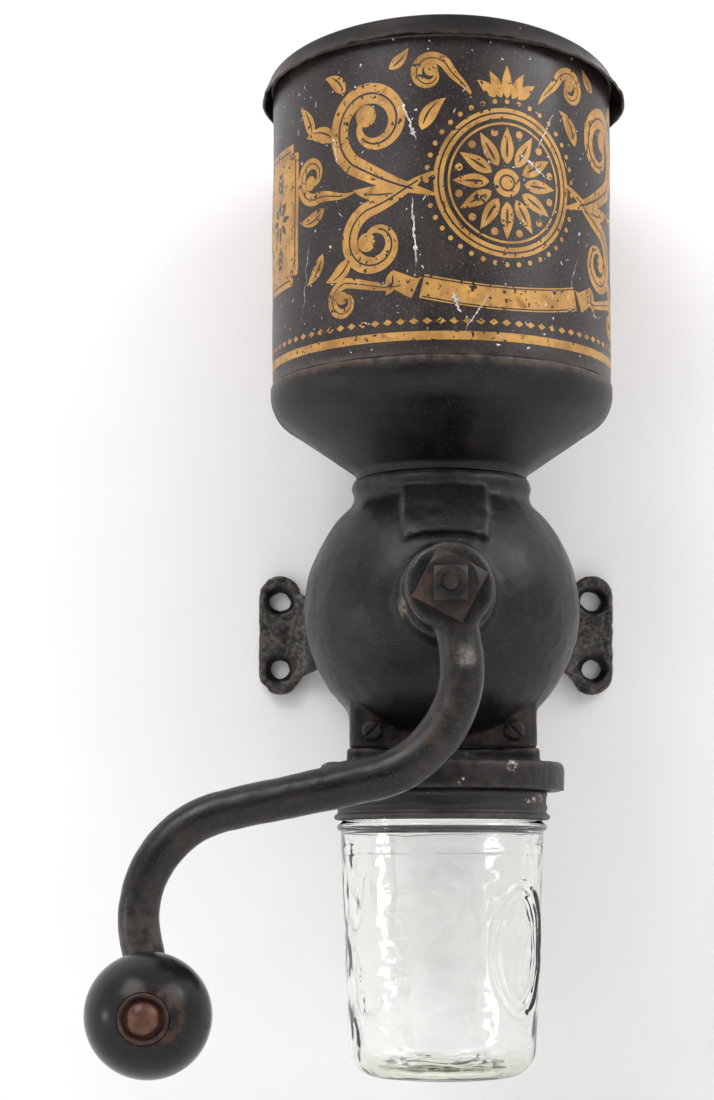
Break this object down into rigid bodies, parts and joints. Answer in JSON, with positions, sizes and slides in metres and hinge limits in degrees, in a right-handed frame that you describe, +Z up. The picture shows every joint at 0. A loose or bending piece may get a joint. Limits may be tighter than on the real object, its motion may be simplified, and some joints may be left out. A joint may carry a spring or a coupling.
{
  "type": "coffee_mill",
  "caption": "Wall mounted coffee mill with a tin bean canister, cast iron grinding body, S-shaped crank with a ball knob, and a glass jar below",
  "frame": {"origin": "on the wall, midway between the four wall screw holes", "axes": "+Z up, +Y into the wall, front of the mill towards -Y"},
  "size_m": [0.2135, 0.2154, 0.4171],
  "materials": {
    "japanned_iron": "black japan, worn at the edges",
    "lacquered_tin": "black lacquered tinplate, aged",
    "worn_steel": "dull, browned",
    "bare_iron": "bare, as cut",
    "black_wood": "turned, black gloss lacquer",
    "clear_glass": "clear"
  },
  "bodies": {
    "mill_body": {"front_casting": "japanned_iron", "rear_casting": "japanned_iron", "hopper": "japanned_iron", "canister": "lacquered_tin", "ring_burr": "bare_iron", "ring_burr_screws": "worn_steel", "rear_cover": "japanned_iron", "rear_cover_screws": "worn_steel", "regulating_lock_nut": "worn_steel", "outlet_plate": "japanned_iron", "outlet_screws": "worn_steel", "jar_lid": "lacquered_tin", "jar_lid_rivets": "worn_steel"},
    "thrust": {"thrust_button": "worn_steel"},
    "regulator": {"regulating_screw": "worn_steel"},
    "rotor": {"spindle": "worn_steel", "inner_burr": "bare_iron", "burr_pin": "worn_steel", "crank_arm": "japanned_iron", "crank_washer": "worn_steel", "crank_nut": "worn_steel", "knob_rivet": "worn_steel"},
    "grip": {"knob": "black_wood", "knob_cup_washer": "worn_steel"},
    "lid": {"canister_lid": "lacquered_tin"},
    "jar": {"glass_jar": "clear_glass"}
  },
  "joints": [
    {"name": "grind_adjust", "type": "slide", "parent": "mill_body", "child": "thrust", "axis": [0, -1, 0], "range_m": [-0.0006, 0.0008]},
    {"name": "regulate", "type": "hinge", "parent": "thrust", "child": "regulator", "pos_m": [0, -0.077, 0.003], "axis": [0, -1, 0], "range_deg": [-173, 231]},
    {"name": "crank_turn", "type": "hinge", "parent": "thrust", "child": "rotor", "pos_m": [0, -0.077, 0.003], "axis": [0, -1, 0], "continuous": true},
    {"name": "knob_turn", "type": "hinge", "parent": "rotor", "child": "grip", "pos_m": [-0.11156, -0.1915, -0.15793], "axis": [0, -1, 0], "continuous": true},
    {"name": "lid_lift", "type": "slide", "parent": "mill_body", "child": "lid", "axis": [0, 0, 1], "range_m": [0, 0.1]},
    {"name": "jar_drop", "type": "slide", "parent": "mill_body", "child": "jar", "axis": [0, 0, -1], "range_m": [0, 0.08]}
  ],
  "couplings": [
    {"joint": "regulate", "follows": "grind_adjust", "rad_per_m": 5026.5}
  ]
}
